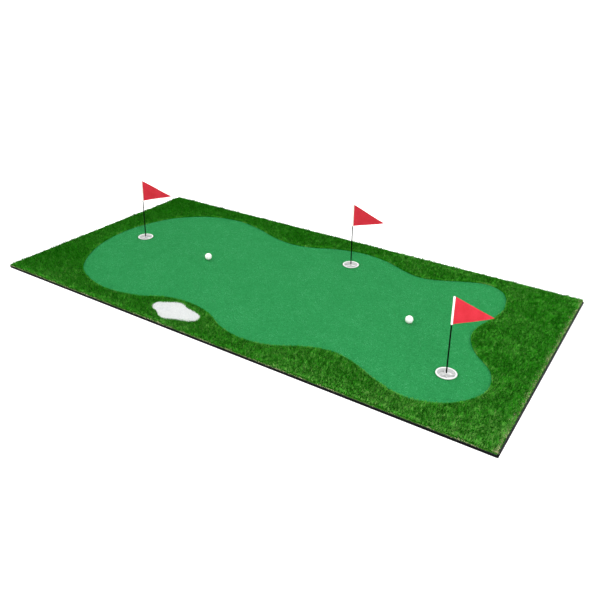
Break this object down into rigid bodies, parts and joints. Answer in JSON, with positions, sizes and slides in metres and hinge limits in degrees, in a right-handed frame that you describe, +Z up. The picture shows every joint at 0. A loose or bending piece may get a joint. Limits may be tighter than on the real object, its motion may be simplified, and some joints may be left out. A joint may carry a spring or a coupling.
{
  "type": "practice putting mat",
  "caption": "Rectangular practice putting mat: long-pile fairway around an inlaid short-pile green and white bunker, on foam, with cups, flagsticks and balls.",
  "frame": {"origin": "centre of the foam's underside, on the surface that the mat lies on", "axes": "+X along the long side, +Y along the short side towards the side away from the bunker, +Z up"},
  "size_m": [3.048, 1.524, 0.42],
  "materials": {
    "foam": "matte",
    "turf_backing": "matte",
    "seam_tape": "matte",
    "fairway_pile": "matte",
    "green_pile": "matte",
    "bunker_pile": "matte",
    "cup": "satin",
    "pole": "satin",
    "flag_sleeve": "satin",
    "flag": "matte",
    "ball": "gloss"
  },
  "bodies": {
    "mat": {"foam_base": "foam", "green_seam_tape": "seam_tape", "bunker_seam_tape": "seam_tape", "fairway_backing": "turf_backing", "green_backing": "turf_backing", "bunker_backing": "turf_backing", "fairway_pile": "fairway_pile", "green_pile": "green_pile", "bunker_pile": "bunker_pile"},
    "cup_left": {"cup_left": "cup"},
    "cup_middle": {"cup_middle": "cup"},
    "cup_right": {"cup_right": "cup"},
    "pole_left": {"pole_left": "pole"},
    "pole_middle": {"pole_middle": "pole"},
    "pole_right": {"pole_right": "pole"},
    "flag_left": {"flag_sleeve_left": "flag_sleeve", "flag_left": "flag"},
    "flag_middle": {"flag_sleeve_middle": "flag_sleeve", "flag_middle": "flag"},
    "flag_right": {"flag_sleeve_right": "flag_sleeve", "flag_right": "flag"},
    "ball_1": {"ball_1": "ball"},
    "ball_2": {"ball_2": "ball"}
  },
  "joints": [
    {"name": "cup_left_lift", "type": "slide", "parent": "mat", "child": "cup_left", "axis": [0, 0, 1], "range_m": [0, 0.04]},
    {"name": "pole_left_lift", "type": "slide", "parent": "cup_left", "child": "pole_left", "axis": [0, 0, 1], "range_m": [0, 0.05]},
    {"name": "flag_left_swivel", "type": "hinge", "parent": "pole_left", "child": "flag_left", "pos_m": [-1.155, 0.028, 0.35], "axis": [0, 0, 1], "continuous": true},
    {"name": "cup_middle_lift", "type": "slide", "parent": "mat", "child": "cup_middle", "axis": [0, 0, 1], "range_m": [0, 0.04]},
    {"name": "pole_middle_lift", "type": "slide", "parent": "cup_middle", "child": "pole_middle", "axis": [0, 0, 1], "range_m": [0, 0.05]},
    {"name": "flag_middle_swivel", "type": "hinge", "parent": "pole_middle", "child": "flag_middle", "pos_m": [0.212, 0.428, 0.35], "axis": [0, 0, 1], "continuous": true},
    {"name": "cup_right_lift", "type": "slide", "parent": "mat", "child": "cup_right", "axis": [0, 0, 1], "range_m": [0, 0.04]},
    {"name": "pole_right_lift", "type": "slide", "parent": "cup_right", "child": "pole_right", "axis": [0, 0, 1], "range_m": [0, 0.05]},
    {"name": "flag_right_swivel", "type": "hinge", "parent": "pole_right", "child": "flag_right", "pos_m": [1.15, -0.358, 0.35], "axis": [0, 0, 1], "continuous": true},
    {"name": "ball_1_lift", "type": "slide", "parent": "mat", "child": "ball_1", "axis": [0, 0, 1], "range_m": [0, 0.15]},
    {"name": "ball_2_lift", "type": "slide", "parent": "mat", "child": "ball_2", "axis": [0, 0, 1], "range_m": [0, 0.15]}
  ]
}
